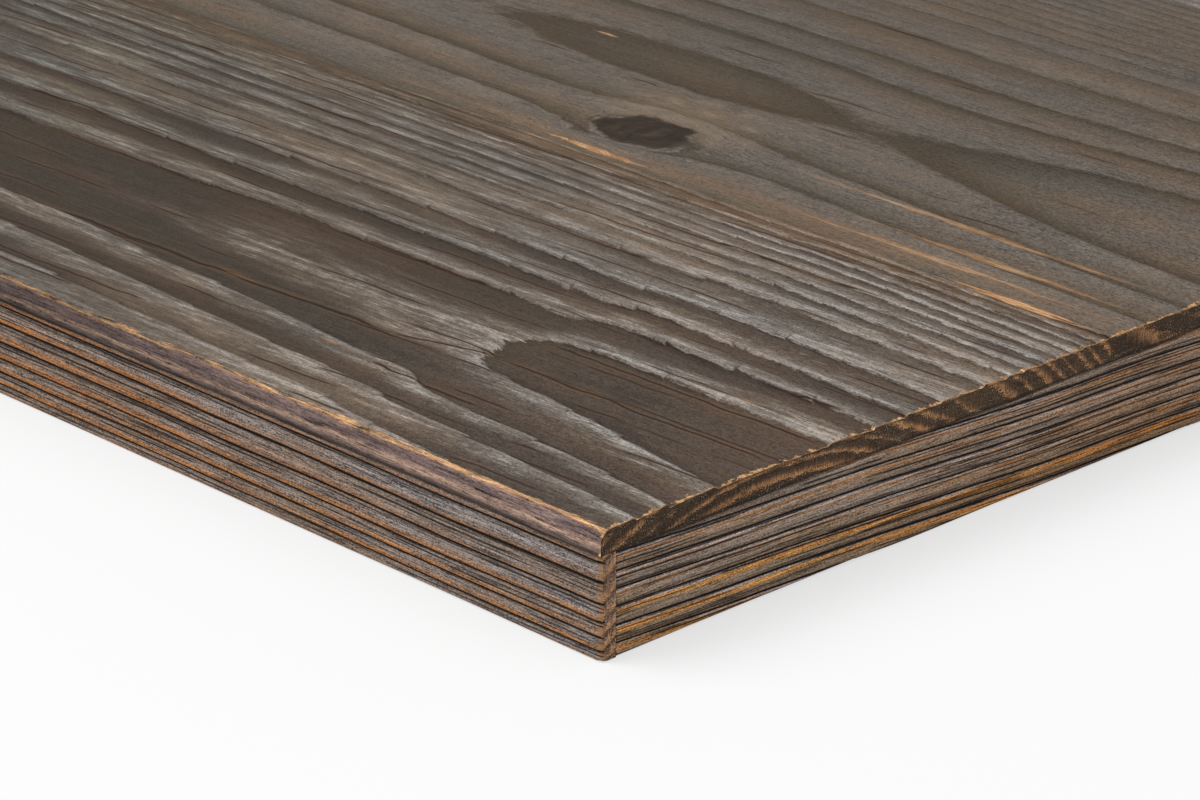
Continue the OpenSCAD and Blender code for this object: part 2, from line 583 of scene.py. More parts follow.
@dataclass(frozen=True)
class Blank:
    """A board or strip as sawn: a closed box with a fine grid on the faces that weather.

    It fills its node's box. Lengths are in mm. front_round and back_round are the radii worn on
    its outer long arrises, in arc_rows rows, and 0 where it is glued to its neighbour. Columns are
    fine for fine_reach from the end where u is 0, and coarse once past change_reach more.
    open_ends says that nothing covers its ends, where columns start end_step wide and grow by a
    share called growth of the way from there.
    """

    node: str
    direction: Direction
    row: float
    fine: float
    coarse: float = 4.5
    fine_reach: float = 250.0
    change_reach: float = 80.0
    end_step: float = 0.3
    growth: float = 0.25
    layers: int = 5
    arc_rows: int = 8
    front_round: float = 0.0
    back_round: float = 0.0
    open_ends: bool = True

    def stations(self, length: float) -> np.ndarray:
        """Places of the grid's columns along the grain.

        Args:
            length: The piece's length, in mm.

        Returns:
            Rising distances from 0 to the length, close together near an open end.
        """
        first = self.end_step if self.open_ends else self.fine
        places = [0.0]
        while places[-1] < length:
            here = places[-1]
            beyond = min(max((here - self.fine_reach) / self.change_reach, 0.0), 1.0)
            step = self.fine + (self.coarse - self.fine) * beyond
            from_end = max(min(here, length - here), 0.0)
            places.append(here + min(step, first + self.growth * from_end))
        return np.array(places) * (length / places[-1])

    def rows(self, width: float) -> np.ndarray:
        """Places of the grid's rows across the grain.

        Args:
            width: The piece's width, in mm.

        Returns:
            Rising distances from 0 to the width, with an arc's rows at each worn arris.
        """
        arc = 1.0 - np.cos(np.linspace(0.0, math.pi / 2, self.arc_rows))
        low = self.front_round * arc if self.front_round else np.zeros(1)
        high = width - self.back_round * arc[::-1] if self.back_round else np.full(1, width)
        count = round((high[0] - low[-1]) / self.row)
        middle = np.linspace(low[-1], high[0], count + 1)
        return np.concatenate([low[:-1], middle, high[1:]])

    def mesh(self) -> bpy.types.Mesh:
        """Makes the box's mesh, with its wood coordinates, relief directions and end faces.

        Returns:
            The mesh, in the panel's own frame.
        """
        low, high = (np.array(corner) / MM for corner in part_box(self.node))
        axes = np.array([self.direction.along, self.direction.across, self.direction.out])
        lengths = np.abs(axes @ (high - low))
        origin = np.where(axes.sum(axis=0) > 0, low, high)
        u, v = self.stations(lengths[0]), self.rows(lengths[1])
        top, lean = self.profile(v, lengths[1], lengths[2])
        grid = np.full((len(u), len(v), self.layers + 1), -1)
        skin = np.zeros(grid.shape, bool)
        skin[:, :, -1] = skin[:, 0] = skin[:, -1] = skin[0] = skin[-1] = True
        i, j, k = np.nonzero(skin)
        grid[i, j, k] = np.arange(len(i))
        rise = top[j] * k / self.layers
        local = np.stack([u[i], v[j], rise], axis=1)
        wood = np.stack([u[i], v[j], lengths[2] - rise], axis=1)
        on_face = (k == self.layers)[:, None]
        outward = np.stack([np.zeros(len(i)), np.sin(lean[j]), np.cos(lean[j])], axis=1) * on_face
        from_end = np.minimum(u[i], lengths[0] - u[i])
        mesh, patch = self.faces(grid, np.linalg.det(axes) > 0)
        mesh.vertices.foreach_set("co", ((origin + local @ axes) * MM).ravel())
        self.note(mesh, "wood", "FLOAT_VECTOR", wood)
        self.note(mesh, "outward", "FLOAT_VECTOR", outward @ axes)
        self.note(mesh, "from_end", "FLOAT", from_end)
        self.note(mesh, "end_grain", "BOOLEAN", patch >= END_PATCH, "FACE")
        self.crease(mesh, patch)
        mesh.update()
        return mesh

    def profile(self, v: np.ndarray, width: float, depth: float) -> tuple[np.ndarray, np.ndarray]:
        """Height of the face over the inner face at each row, and the way that it leans.

        Args:
            v: Places of the rows.
            width: The piece's width.
            depth: Its thickness.

        Returns:
            Heights in mm, and angles from straight out towards the back, in radians.
        """
        front = np.clip(self.front_round - v, 0.0, None)
        back = np.clip(v - (width - self.back_round), 0.0, None)
        top = depth - self.front_round - self.back_round
        top = top + np.sqrt(self.front_round ** 2 - front ** 2)
        top = top + np.sqrt(self.back_round ** 2 - back ** 2)
        lean = np.arcsin(back / (self.back_round or 1.0))
        return top, lean - np.arcsin(front / (self.front_round or 1.0))

    def faces(self, grid: np.ndarray, right_handed: bool) -> tuple[bpy.types.Mesh, np.ndarray]:
        """Makes the mesh's faces out of the grid of vertex numbers.

        Args:
            grid: Vertex number at each column, row and layer.
            right_handed: Whether the wood's axes are a right-handed set.

        Returns:
            The mesh, its vertices not yet placed, and the patch that each face belongs to.
        """
        patches = [(grid[:, :, -1], True), (grid[:, 0], True), (grid[:, -1], False), None,
                   (grid[0], False), (grid[-1], True)]
        loops, totals, owner = [], [], []
        for number, patch in enumerate(patches):
            if patch is None:
                corners = grid[:, [0, -1], 0]
                quads = np.stack([corners[1:-2, 0], corners[1:-2, 1], corners[2:-1, 1],
                                  corners[2:-1, 0]], axis=1)
                quads = quads if right_handed else quads[:, ::-1]
                first = np.concatenate([grid[0, :, 0], corners[1, ::-1]])
                last = np.concatenate([grid[-1, ::-1, 0], corners[-2]])
                caps = [first, last] if right_handed else [first[::-1], last[::-1]]
            else:
                ids, outward = patch
                quads = np.stack([ids[:-1, :-1], ids[1:, :-1], ids[1:, 1:], ids[:-1, 1:]], axis=-1)
                quads = quads.reshape(-1, 4)
                quads = quads if outward == right_handed else quads[:, ::-1]
                caps = []
            loops += [quads.ravel(), *caps]
            totals += [np.full(len(quads), 4), np.array([len(c) for c in caps], int)]
            owner += [np.full(len(quads) + len(caps), number)]
        corner, total = np.concatenate(loops), np.concatenate(totals)
        mesh = bpy.data.meshes.new(self.node)
        mesh.vertices.add(int(grid.max()) + 1)
        mesh.loops.add(len(corner))
        mesh.loops.foreach_set("vertex_index", corner.astype(np.int32))
        mesh.polygons.add(len(total))
        mesh.polygons.foreach_set("loop_start", (np.cumsum(total) - total).astype(np.int32))
        mesh.update(calc_edges=True)
        return mesh, np.concatenate(owner)

    def note(self, mesh: bpy.types.Mesh, name: str, kind: str, values: np.ndarray,
             domain: str = "POINT") -> None:
        """Keeps values on a mesh as a named attribute.

        Args:
            mesh: The mesh.
            name: The attribute's name.
            kind: Blender's name for its type.
            values: One value for each vertex or face.
            domain: What the values belong to.
        """
        attribute = mesh.attributes.new(name, kind, domain)
        key = "vector" if kind == "FLOAT_VECTOR" else "value"
        attribute.data.foreach_set(key, np.ascontiguousarray(values).ravel())

    def crease(self, mesh: bpy.types.Mesh, patch: np.ndarray) -> None:
        """Makes the edges between flat patches sharp, and leaves a worn arris smooth.

        Args:
            mesh: The mesh.
            patch: The patch that each face belongs to.
        """
        joined = patch.copy()
        joined[(patch == FRONT_PATCH) & (self.front_round > 0)] = FACE_PATCH
        joined[(patch == BACK_PATCH) & (self.back_round > 0)] = FACE_PATCH
        edge = np.empty(len(mesh.loops), np.int32)
        mesh.loops.foreach_get("edge_index", edge)
        total = np.empty(len(mesh.polygons), np.int32)
        mesh.polygons.foreach_get("loop_total", total)
        owner = np.repeat(joined, total)
        lowest = np.full(len(mesh.edges), joined.max())
        highest = np.zeros(len(mesh.edges), int)
        np.minimum.at(lowest, edge, owner)
        np.maximum.at(highest, edge, owner)
        self.note(mesh, "sharp_edge", "BOOLEAN", lowest != highest, "EDGE")


# ---- finishes ----


class Blend(Enum):
    """How a coat meets the colour under it: it hides it, or stains it."""

    COVER = "MIX"
    STAIN = "MULTIPLY"


@dataclass(frozen=True)
class Streaks:
    """A noise drawn out along the fibres, which step aside round a knot.

    Its streaks are length by width mm. It has so many finer layers, and rough is their strength.
    A shift sets it apart from the finish's other noises, and leans says that it follows the slope.
    """

    length: float
    width: float
    layers: float = 2.0
    rough: float = 0.5
    shift: float = 0.0
    leans: bool = False

    def wave(self, paint: Paint) -> Wire:
        """Adds the noise.

        Args:
            paint: The material being painted.

        Returns:
            Values spread evenly from 0 to 1.
        """
        slope = paint.slope if self.leans else 0.0
        across = paint.across - paint.side_step + paint.along * slope
        start = paint.seed + self.shift
        place = paint.graph.add(JOIN, paint.along / self.length + start * SEED_STEP[0],
                                across / self.width,
                                paint.depth / self.width + start * SEED_STEP[1])
        wave = paint.graph.add(NOISE, place, links={"Scale": 1.0, "Detail": self.layers,
                                                    "Roughness": self.rough})
        return paint.graph.add(RANGE, wave, *NOISE_SPAN)


@dataclass(frozen=True)
class Spots:
    """A noise on end grain, whose spots are across by down mm. A shift sets it apart from the
    finish's other noises."""

    across: float
    down: float
    shift: float = 0.0

    def wave(self, paint: Paint) -> Wire:
        """Adds the noise.

        Args:
            paint: The material being painted.

        Returns:
            Values spread evenly from 0 to 1.
        """
        place = paint.graph.add(JOIN, paint.across / self.across, paint.depth / self.down,
                                paint.seed + self.shift)
        wave = paint.graph.add(NOISE, place, links={"Scale": 1.0, "Detail": 2.0})
        return paint.graph.add(RANGE, wave, *NOISE_SPAN)


class Paint:
    """A material being painted, with the wood's attributes and the finish's noises at hand."""

    def __init__(self, name: str, waves: dict[str, Streaks | Spots], seed: float,
                 slope: float = 0.0) -> None:
        """Makes an empty material that reads the wood's attributes.

        Args:
            name: The material's name.
            waves: Its noises.
            seed: Number that sets their pattern.
            slope: Rise of the fibres across the board for each mm along it.
        """
        self.seed = seed
        self.slope = slope
        self.material = bpy.data.materials.new(name)
        self.material.use_nodes = True
        self.graph = Graph(self.material.node_tree)
        read = "ShaderNodeAttribute"
        self.wood = self.graph.add(read, out="Vector", attribute_name="wood")
        self.ring = self.graph.add(read, out="Fac", attribute_name="ring")
        self.arch = self.graph.add(read, out="Fac", attribute_name="arch")
        self.from_end = self.graph.add(read, out="Fac", attribute_name="from_end")
        self.along = self.graph.add(SPLIT, self.wood)
        self.across = self.along.other("Y")
        self.depth = self.along.other("Z")
        knot = self.graph.add(read, out="Vector", attribute_name="knot")
        self.side_step = self.graph.add(SPLIT, knot)
        self.in_knot = self.side_step.other("Y")
        self.from_pith = self.side_step.other("Z")
        self.waves = {key: noise.wave(self) for key, noise in waves.items()}

    def swing(self, level: float = 0.0, **reach: float) -> Wire:
        """Sums noises about a level.

        Args:
            level: The sum where each noise is at its middle.
            **reach: How far each noise moves the sum from its one end to the other.

        Returns:
            The sum.
        """
        total = level
        for key, amount in reach.items():
            total = (self.waves[key] - 0.5) * amount + total
        return total

    def most(self, *wires: Wire) -> Wire | float:
        """Picks the largest of some wires.

        Args:
            *wires: Values from 0 up.

        Returns:
            The largest, or 0 if there are none.
        """
        largest = 0.0
        for wire in wires:
            largest = self.graph.add(MATH, largest, wire, operation="MAXIMUM")
        return largest

    def lay(self, colour: Wire, blend: Blend, *coats: tuple[Wire | float, Wire | str]) -> Wire:
        """Lays coats of colour one over another.

        Args:
            colour: The colour below.
            blend: How each coat meets what is under it.
            *coats: How far each reaches, from 0 to 1, and its colour.

        Returns:
            The colour on top.
        """
        for reach, coat in coats:
            colour = self.graph.add(BLEND, reach, *SKIP, colour, coat, blend_type=blend.value,
                                    **TINT)
        return colour

    def brighten(self, colour: Wire, light: Wire) -> Wire:
        """A colour made lighter or darker."""
        return self.graph.add(VECTOR, colour, None, None, light, operation="SCALE")

    def finish(self, colour: Wire, height: Wire, deep: float, roughness: float = 0.8,
               specular: float = 0.2) -> bpy.types.Material:
        """Ends the material in a dull Principled shader.

        Args:
            colour: Base colour.
            height: Fine relief, which spans about 1.
            deep: Depth of that relief, in mm.
            roughness: Roughness.
            specular: Specular level.

        Returns:
            The material.
        """
        normal = self.graph.add("ShaderNodeBump", 1.0, deep * MM, links={"Height": height})
        shader = self.graph.add("ShaderNodeBsdfPrincipled", colour, links={
            "Roughness": roughness, "Normal": normal, "Specular IOR Level": specular})
        self.graph.add("ShaderNodeOutputMaterial", shader)
        return self.material


@dataclass(frozen=True)
class Checks:
    """Drying cracks, which run as thin dark lines nearly along the grain. Lengths in mm.

    The lines are spacing apart and width wide. They bend by a share of the spacing over
    bend_length, and each keeps to its own place in the middle of its lane. They open and close
    over open_length, where a noise passes opening, less by wider where their share is larger. A
    crack is at its darkest over core of its width, and the stain beside it starts and is full at
    the two numbers of stain, in widths.
    """

    spacing: float
    width: float
    share: float
    bend_length: float = 18.0
    bend: float = 0.25
    open_length: float = 40.0
    apart: float = 7.3
    lane: Span = (0.2, 0.8)
    opening: Span = (0.66, 0.74)
    wider: float = 0.3
    core: float = 0.15
    stain: Span = (3.5, 0.5)

    def open(self, paint: Paint, across: Wire, seed: float) -> tuple[Wire, Wire]:
        """Opens the cracks.

        Args:
            paint: The material being painted.
            across: Distance across the lines, in mm.
            seed: Number that sets the pattern.

        Returns:
            1 in a crack and 0 elsewhere, and the same for the stained wood beside it.
        """
        graph = paint.graph
        bend = graph.add(NOISE, noise_dimensions="1D",
                         links={"W": paint.along / self.bend_length + seed, "Scale": 1.0,
                                "Detail": 3.0})
        lane = across / self.spacing + bend * self.bend + seed
        row = graph.add(MATH, lane, operation="FLOOR")
        chance = graph.add(HASH, noise_dimensions="1D", links={"W": row})
        middle = graph.add(RANGE, chance, 0.0, 1.0, *self.lane)
        off = graph.add(MATH, lane - row - middle, operation="ABSOLUTE") * self.spacing
        wave = graph.add(NOISE, noise_dimensions="1D",
                         links={"W": paint.along / self.open_length + row * self.apart + seed,
                                "Scale": 1.0, "Detail": 2.0})
        more = self.wider * self.share
        here = graph.add(RANGE, wave, self.opening[0] - more, self.opening[1] - more)
        crack = graph.add(RANGE, off, self.width, self.width * self.core) * here
        stain = graph.add(RANGE, off, *(self.width * edge for edge in self.stain)) * here
        return crack, stain


@dataclass(frozen=True)
class LongCheck:
    """A long drying crack. Lengths in mm.

    Its right end is at (u, v), and it drifts to the back over its length. It wavers over
    waver_length, closes towards its ends, and is at its darkest over core of its width. The
    rust beside it is beside times as wide.
    """

    u: float
    v: float
    length: float
    drift: float
    width: float = 0.36
    waver: float = 1.6
    waver_length: float = 14.0
    ends: Span = (0.5, 0.42)
    core: float = 0.3
    beside: float = 3.0

    def open(self, paint: FacePaint) -> tuple[Wire, Wire]:
        """Opens the crack.

        Args:
            paint: The material being painted.

        Returns:
            1 in the crack and 0 elsewhere, and the same for the rusty wood beside it.
        """
        graph = paint.graph
        reach = (paint.along - self.u) / self.length
        bend = graph.add(NOISE, noise_dimensions="1D",
                         links={"W": paint.along / self.waver_length + self.v, "Scale": 1.0,
                                "Detail": 3.0})
        line = self.v + reach * self.drift + (bend - 0.5) * self.waver
        off = graph.add(MATH, paint.across - line, operation="ABSOLUTE")
        middle = graph.add(MATH, reach - 0.5, operation="ABSOLUTE")
        here = graph.add(RANGE, middle + paint.swing(fleck=0.06), *self.ends)
        crack = graph.add(RANGE, off, self.width, self.width * self.core) * here
        rusty = graph.add(RANGE, off, self.width * self.beside, self.width, 0.0,
                          paint.waves["mottle"])
        return crack, rusty * here


@dataclass(frozen=True)
class Splinter:
    """A strand of fresh wood, where a splinter tore off: the place (u, v) of its right end, its
    length, its width and how soft its edge is, in mm, and how bare of grey it is, from 0 to 1.
    It is bulge times its width in the middle and tapers to its ends."""

    u: float
    v: float
    length: float
    width: float
    bare: float = 1.0
    bulge: float = 1.4
    soft: float = 0.3

    def show(self, paint: FacePaint) -> Wire:
        """Bares the strand.

        Args:
            paint: The material being painted.

        Returns:
            How fresh the wood is there, and 0 elsewhere.
        """
        half = self.length / 2
        middle = paint.along - self.u - half
        along = paint.graph.add(MATH, middle, operation="ABSOLUTE") / half
        off = paint.graph.add(MATH, paint.across - self.v + paint.swing(mottle=0.8),
                              operation="ABSOLUTE")
        thin = (1.0 - along) * (self.width * self.bulge)
        return paint.graph.add(RANGE, off - thin + paint.swing(fleck=0.5), 0.0, -self.soft, 0.0,
                               self.bare)


# Noises of a board's face: coarse and finer fibres, single fibres, dirt and pits in open cells,
# grey or brown patches, blotches under a cathedral's nose, resin in a knot, smears, lines and
# specks on the side, and chips along the end arris. Those with True lean with the fibres.
FACE_WAVES = {
    "mottle": Streaks(13.0, 1.3, 3.0, 0.65, 0.0, True),
    "fleck": Streaks(4.5, 0.38, 3.0, 0.65, 3.0, True),
    "streak": Streaks(8.0, 0.17, 1.0, 0.5, 7.0, True),
    "grit": Streaks(0.5, 0.2, 2.0, 0.7, 9.0, True),
    "pit": Streaks(1.2, 0.45, 2.0, 0.6, 23.0, True),
    "patch": Streaks(60.0, 11.0, shift=5.0),
    "blotch": Streaks(3.5, 2.0, 3.0, 0.65, 21.0),
    "resin": Streaks(3.0, 2.2, 3.0, 0.6, 15.0),
    "smear": Streaks(5.0, 0.5, 2.0, 0.6, 13.0),
    "line": Streaks(14.0, 0.24, 1.0, 0.5, 17.0),
    "speck": Streaks(2.6, 0.2, 2.0, 0.6, 19.0),
    "chip": Streaks(0.9, 1.4, 3.0, 0.6, 11.0),
}


class FacePaint(Paint):
    """A board's face being painted, with each point's place in its ring at hand."""

    def __init__(self, face: OldFace) -> None:
        """Tears the rings' edges as the relief does.

        Args:
            face: The finish.
        """
        super().__init__(face.name, FACE_WAVES, face.seed, face.slope)
        self.phase, self.cut, self.scale = face.tearing.phase(self.graph, self.ring, self.arch,
                                                              self.wood)
        self.near = face.rough - self.phase
        self.far = self.graph.add(RANGE, self.along, *face.calm_reach)


@dataclass(frozen=True)
class OldFace:
    """Brushed and oiled face of an old softwood board.

    Weather turned the torn edge of each ring silver grey, and left the smooth wood between dark
    brown. It is dull, because the oil lies in open fibres. Worn arrises show fresh orange wood.
    Lengths are in mm, and slope is the fibres' rise for each mm along the board.
    """

    name: str
    tearing: Tearing
    # Tones across one ring from its torn edge, and how far fibres mix them, less and less away
    # from that edge, where they stop at rough of a ring
    tones: Tones
    seed: float
    slope: float = 0.035
    blend: float = 0.4
    rough: float = 1.15
    # The pale part takes less of a ring under a cathedral's nose, by pinch, and more past the
    # first rings, and comes and goes in patches, by vary
    pinch: float = 0.8
    narrow_rings: Span = (2.0, 4.5)
    narrow_pale: float = 0.45
    vary: float = 0.3
    # Over calm_reach along the grain dust evens out the pale part, up to calm: dusty has the
    # ring's shares where dust stops and bare wood starts, and what they turn into
    calm: float = 0.9
    calm_reach: Span = (32.0, 118.0)
    dusty: Change = (0.33, 0.6, 0.22, 0.8)
    # Farther along, the pale part gets duller and the brown part deeper
    dull_reach: Span = (50.0, 250.0)
    deep_reach: Span = (10.0, 120.0)
    deep_part: Span = (0.5, 0.8)
    far_tint: str = "#d1d7d5"
    far_brown: str = "#cfd2c9"
    # Glue or dirt soaked in past edge_reach from the front edge, and the wood within rim_reach
    # of it gives back less light, from rim_light up
    edge_reach: Span = (200.0, 203.0)
    edge_tint: str = "#e6d8c8"
    rim_reach: Span = (4.0, 26.0)
    rim_light: float = 0.92
    # Patches are brown or grey, and more brown past a ring's pale part. Streaks along the grain
    # are lighter or darker, by streaky
    brown: str = "#f6e8da"
    grey: str = "#f6f7f8"
    warm_patch: Span = (0.2, 0.8)
    warm_ring: Change = (0.05, 0.5, 0.35, 1.0)
    streaky: float = 0.0
    # Lifted pale fibres on the torn edge, with a painted highlight where they gleam
    gleam: float = 0.55
    gleam_part: Span = (0.6, 0.95)
    gleam_rings: Change = (2.0, 4.0, 0.4, 1.0)
    silver: str = "#b6b0ab"
    # Dark fibres that fray it over a share of the ring, less by nose under a cathedral's nose
    soft: float = 0.07
    nose: float = 0.85
    shade: str = "#5a4f46"
    # Cracks, whose colour also lines torn edges here and there, less so past the first rings, as
    # dirt and painted shade at the foot of each ring's step
    checks: Checks = Checks(6.5, 0.3, 0.65)
    long_checks: tuple[LongCheck, ...] = ()
    hug: float = 0.7
    hug_length: float = 28.0
    hug_apart: float = 5.1
    hug_chance: Span = (0.42, 0.55)
    hug_ring: Span = (0.945, 0.975)
    hug_rings: Change = (2.0, 6.0, 1.0, 0.35)
    crack: str = "#261b15"
    rust: str = "#5f4633"
    rusty: str = "#7c5a39"
    # Knots, dark in their own rings, which turn by so many radians for each mm from the pith,
    # with a halo where the fibres step aside
    knot_turn: float = 3.1
    knot_edge: Span = (0.3, 0.6)
    knot_tones: Tones = ((0.1, "#201914"), (0.5, "#34291f"), (0.9, "#4c3c30"))
    halo: str = "#8f7b66"
    halo_step: Change = (0.8, 3.4, 0.0, 0.5)
    # The long outer side, from its arris down, which darkens over side_reach along the grain,
    # where its bands move by side_spread, with dark specks on it
    thickness: float = 4.2
    side_reach: Span = (15.0, 140.0)
    side_light: Span = (1.3, 0.5)
    side_spread: float = 0.35
    side_from: Span = (0.1, 0.2)
    side_specks: Change = (0.85, 1.05, 0.0, 0.8)
    side_tones: Tones = (
        (0.03, "#766a5f"), (0.055, "#a07e5c"), (0.085, "#c2976b"), (0.12, "#98745a"),
        (0.16, "#74605a"), (0.25, "#6b5955"), (0.5, "#665450"), (0.58, "#80695c"),
        (0.67, "#9a7e6b"), (0.76, "#877063"), (0.83, "#625350"), (0.92, "#51423a"),
        (0.99, "#32261e"))
    # Fresh wood, where the end arris is worn down in chips, less near a torn edge, and in the
    # splinters
    fresh: Tones = ((0.1, "#8a6241"), (0.5, "#bb8a5c"), (0.9, "#dcb78c"))
    chipped: Span = (0.3, 1.0)
    fresh_edge: Span = (0.05, -0.15)
    fresh_ring: Change = (0.2, 0.5, 0.3, 1.0)
    splinters: tuple[Splinter, ...] = ()

    def material(self) -> bpy.types.Material:
        """Paints the material.

        Returns:
            The material.
        """
        paint = FacePaint(self)
        part, place = self.place(paint)
        colour = paint.graph.add(RAMP, place, stops=self.tones)
        colour = self.tint(paint, colour, place)
        colour = self.light(paint, colour, part)
        colour, dark = self.cracks(paint, colour)
        for coat in (self.knots, self.side, self.fresh_wood):
            colour = coat(paint, colour)
        height = paint.swing(0.9, streak=0.3, grit=0.5, fleck=0.5, pit=0.5) - dark * 0.8
        return paint.finish(colour, height, deep=0.12)

    def place(self, paint: FacePaint) -> tuple[Wire, Wire]:
        """Finds which of the tones each point takes.

        Args:
            paint: The material being painted.

        Returns:
            Its share of the way from the torn edge, and the same once dust and fibres mix it.
        """
        graph, phase = paint.graph, paint.phase
        part = phase + phase * (1.0 - phase) * paint.arch * self.pinch
        part = part * (1.0 - paint.swing(patch=2.0 * self.vary))
        part = part * graph.add(RANGE, paint.ring, *self.narrow_rings, 1.0, self.narrow_pale)
        dusty = graph.add(RANGE, part, *self.dusty)
        fibres = paint.swing(mottle=1.0, fleck=0.8) + paint.swing(blotch=0.6) * paint.arch
        place = part + (dusty - part) * (paint.far * self.calm) + fibres * paint.near * self.blend
        return part, place

    def tint(self, paint: FacePaint, colour: Wire, place: Wire) -> Wire:
        """Frays the torn edge, and tints the wood in patches, along the grain and at the edge.

        Args:
            paint: The material being painted.
            colour: Its colour so far.
            place: Which of the tones each point takes.

        Returns:
            The tinted colour.
        """
        graph = paint.graph
        straight = (1.0 - paint.arch * self.nose) * self.soft
        fray = paint.phase + paint.swing(mottle=1.2, fleck=0.9) * straight
        frayed = graph.add(RANGE, fray, 0.0, straight, 0.9, 0.0)
        warm = graph.add(RANGE, paint.swing(0.5, patch=1.0, mottle=0.4), *self.warm_patch)
        warm = warm * graph.add(RANGE, paint.phase, *self.warm_ring)
        patches = graph.add(BLEND, warm, *SKIP, self.grey, self.brown, **TINT)
        deep = graph.add(RANGE, place, *self.deep_part)
        dull = graph.add(RANGE, paint.along, *self.dull_reach) * (1.0 - deep)
        deeper = graph.add(RANGE, paint.along, *self.deep_reach) * deep
        edge = graph.add(RANGE, paint.across + paint.swing(mottle=4.0), *self.edge_reach)
        colour = paint.lay(colour, Blend.COVER, (frayed, self.shade))
        return paint.lay(colour, Blend.STAIN, (1.0, patches), (dull, self.far_tint),
                         (deeper, self.far_brown), (edge, self.edge_tint))

    def light(self, paint: FacePaint, colour: Wire, part: Wire) -> Wire:
        """Lightens and darkens the wood fibre by fibre, and adds the gleam's painted highlight.

        Args:
            paint: The material being painted.
            colour: Its colour so far.
            part: Share of the way from the torn edge.

        Returns:
            The colour with its fibres.
        """
        graph = paint.graph
        light = paint.swing(grit=0.8, pit=0.4) * (1.3 - paint.far * 0.6)
        light = light + paint.swing(fleck=0.25, blotch=0.2) * paint.near + paint.scale * 0.24
        light = light + paint.swing(1.0, streak=0.3, mottle=self.streaky, patch=0.2)
        light = light * graph.add(RANGE, paint.across, *self.rim_reach, self.rim_light, 1.0)
        colour = paint.brighten(colour, light)
        # Painted highlight where lifted fibres gleam on the torn edge
        lifted = paint.swing(0.5, fleck=1.0, mottle=0.5) - part * 0.7
        gleam = graph.add(RANGE, lifted, *self.gleam_part, 0.0, self.gleam)
        gleam = gleam * (1.0 - paint.far * 0.85)
        gleam = gleam * graph.add(RANGE, paint.ring, *self.gleam_rings)
        return paint.lay(colour, Blend.COVER, (gleam, self.silver))

    def cracks(self, paint: FacePaint, colour: Wire) -> tuple[Wire, Wire]:
        """Opens the drying cracks, the long ones, and lays dirt and painted shade on torn edges.

        Args:
            paint: The material being painted.
            colour: Its colour so far.

        Returns:
            The colour with its cracks and painted shade, and 1 in either and 0 elsewhere.
        """
        graph = paint.graph
        across = paint.across - paint.side_step + paint.along * self.slope
        crack, stain = self.checks.open(paint, across, self.seed)
        opened = [check.open(paint) for check in self.long_checks]
        rusty = paint.most(*(beside for _, beside in opened))
        colour = paint.lay(colour, Blend.COVER, (stain * 0.35, self.rust),
                           (rusty * 0.45, self.rusty))
        # Dark lines hugging torn edges: dirt and painted shade at the foot of each ring's step
        number = graph.add(MATH, paint.ring, operation="ROUND")
        hug_shade = graph.add(NOISE, noise_dimensions="1D",
                         links={"W": paint.along / self.hug_length + number * self.hug_apart,
                                "Scale": 1.0})
        hug_shade = graph.add(RANGE, hug_shade, *self.hug_chance, 0.0, self.hug) * (1.0 - paint.arch)
        hug_shade = hug_shade * graph.add(RANGE, paint.ring, *self.hug_rings)
        edge = graph.add(RANGE, paint.phase, *self.hug_ring) * hug_shade
        slit = paint.cut * (0.65 - paint.far * 0.4)
        dark = paint.most(crack, slit, *(line for line, _ in opened), edge)
        return paint.lay(colour, Blend.COVER, (dark, self.crack)), dark

    def knots(self, paint: FacePaint, colour: Wire) -> Wire:
        """Darkens the knots, ring by ring.

        Args:
            paint: The material being painted.
            colour: Its colour so far.

        Returns:
            The colour with the knots in it.
        """
        graph, resin = paint.graph, paint.waves["resin"]
        wave = graph.add(MATH, paint.from_pith * self.knot_turn + resin * 5.0, operation="SINE")
        shade = graph.add(RAMP, wave * 0.05 + paint.swing(0.475, fleck=0.3, resin=0.45),
                          stops=self.knot_tones)
        halo = graph.add(RANGE, paint.side_step + paint.swing(resin=1.5), *self.halo_step)
        halo = halo * paint.swing(0.7, fleck=0.8)
        inside = graph.add(RANGE, paint.in_knot + paint.swing(resin=0.35), *self.knot_edge)
        return paint.lay(colour, Blend.COVER, (halo, self.halo), (inside, shade))

    def side(self, paint: FacePaint, colour: Wire) -> Wire:
        """Gives the long outer side its own bands, from the worn orange arris down.

        Args:
            paint: The material being painted.
            colour: Its colour so far.

        Returns:
            The colour with its side.
        """
        graph = paint.graph
        down = paint.depth / self.thickness
        spread = graph.add(RANGE, paint.along, *self.side_reach, 0.0, self.side_spread)
        down = down * (1.0 - spread * (1.0 - down))
        side = graph.add(RAMP, down + paint.swing(mottle=0.11, fleck=0.06),
                         stops=self.side_tones)
        light = paint.swing(1.0, grit=0.7, smear=0.9, fleck=0.6, line=0.7, mottle=0.3)
        light = light * graph.add(RANGE, paint.along, *self.side_reach, *self.side_light)
        side = paint.brighten(side, light)
        specks = paint.swing(0.5, speck=1.0, smear=0.6, line=0.3)
        specks = graph.add(RANGE, specks, *self.side_specks)
        side = paint.lay(side, Blend.COVER, (specks, self.crack))
        on_side = graph.add(RANGE, paint.depth + paint.swing(fleck=0.15), *self.side_from)
        return paint.lay(colour, Blend.COVER, (on_side, side))

